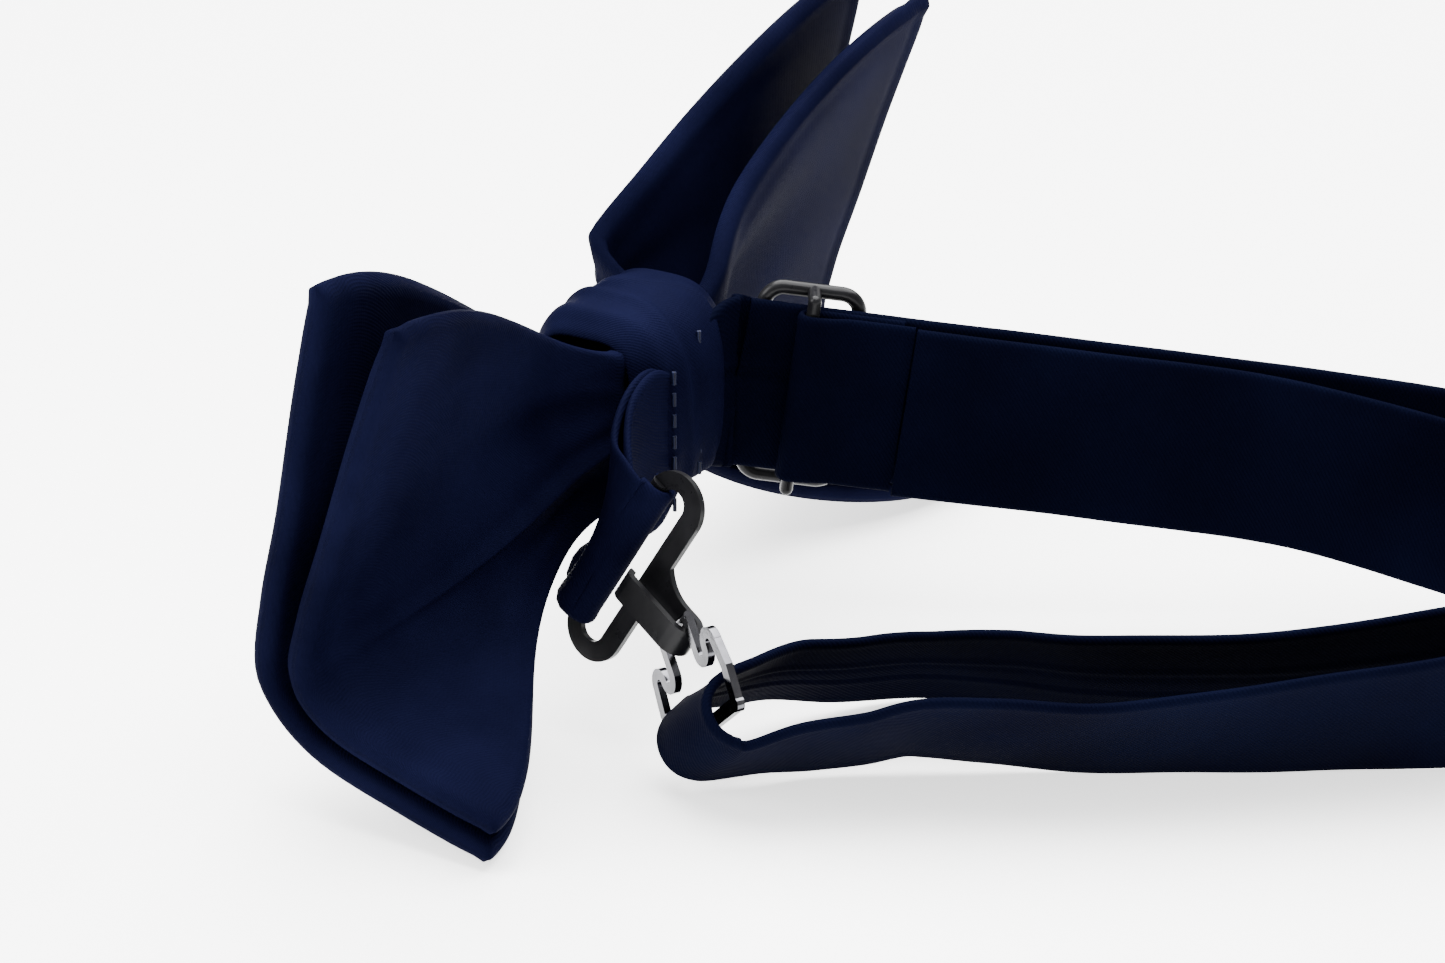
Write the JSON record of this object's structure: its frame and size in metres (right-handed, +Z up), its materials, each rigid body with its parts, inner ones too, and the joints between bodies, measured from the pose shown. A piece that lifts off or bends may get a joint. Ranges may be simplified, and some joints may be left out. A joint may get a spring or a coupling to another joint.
{
  "type": "bow tie",
  "caption": "Pre-tied navy satin bow tie with an adjustable woven neck band, a sliding length adjuster and a hook-and-eye clasp.",
  "frame": {"origin": "centre of the whole tie's footprint, on the surface it stands on", "axes": "+X across the bow from wing tip to wing tip, -Y out of the bow's front face, +Y towards the trailing neck band, +Z up"},
  "size_m": [0.12, 0.1382, 0.0704],
  "materials": {
    "bow_satin": "navy satin weave with a soft sheen",
    "band_satin": "navy satin weave",
    "canvas": "plain woven stiffening canvas",
    "thread": "navy sewing thread",
    "black_enamel": "glossy black enamel",
    "dark_metal": "dark glossy plating"
  },
  "bodies": {
    "bow_and_band": {"front_bow": "bow_satin", "back_bow": "bow_satin", "front_stiffener": "canvas", "back_stiffener": "canvas", "knot_wrap": "bow_satin", "gather_thread": "thread", "wrap_stitches": "thread", "neck_band": "band_satin", "return_band": "band_satin", "slack_band": "band_satin", "clasp_bight": "band_satin", "band_stitches": "thread", "tab_stitches": "thread", "hook_tab": "band_satin"},
    "hook": {"hook": "black_enamel"},
    "eye": {"eye": "dark_metal"},
    "slider": {"slider": "black_enamel", "sewn_end": "band_satin", "sewn_end_stitches": "thread"}
  },
  "joints": [
    {"name": "hook_swing", "type": "hinge", "parent": "bow_and_band", "child": "hook", "pos_m": [0.02545, -0.04269, 0.02377], "axis": [-0.1111, 0.4901, 0.8645], "range_deg": [-15, 15], "deforming": ["clasp_bight"]},
    {"name": "eye_swing", "type": "hinge", "parent": "hook", "child": "eye", "pos_m": [0.03042, -0.0324, 0.01857], "axis": [0.379, 0.6394, 0.669], "range_deg": [-15, 15], "deforming": ["clasp_bight"]},
    {"name": "slider_slide", "type": "slide", "parent": "bow_and_band", "child": "slider", "axis": [-0.4956, 0.8584, -0.1323], "range_m": [0, 0.03], "deforming": ["slack_band"]}
  ]
}
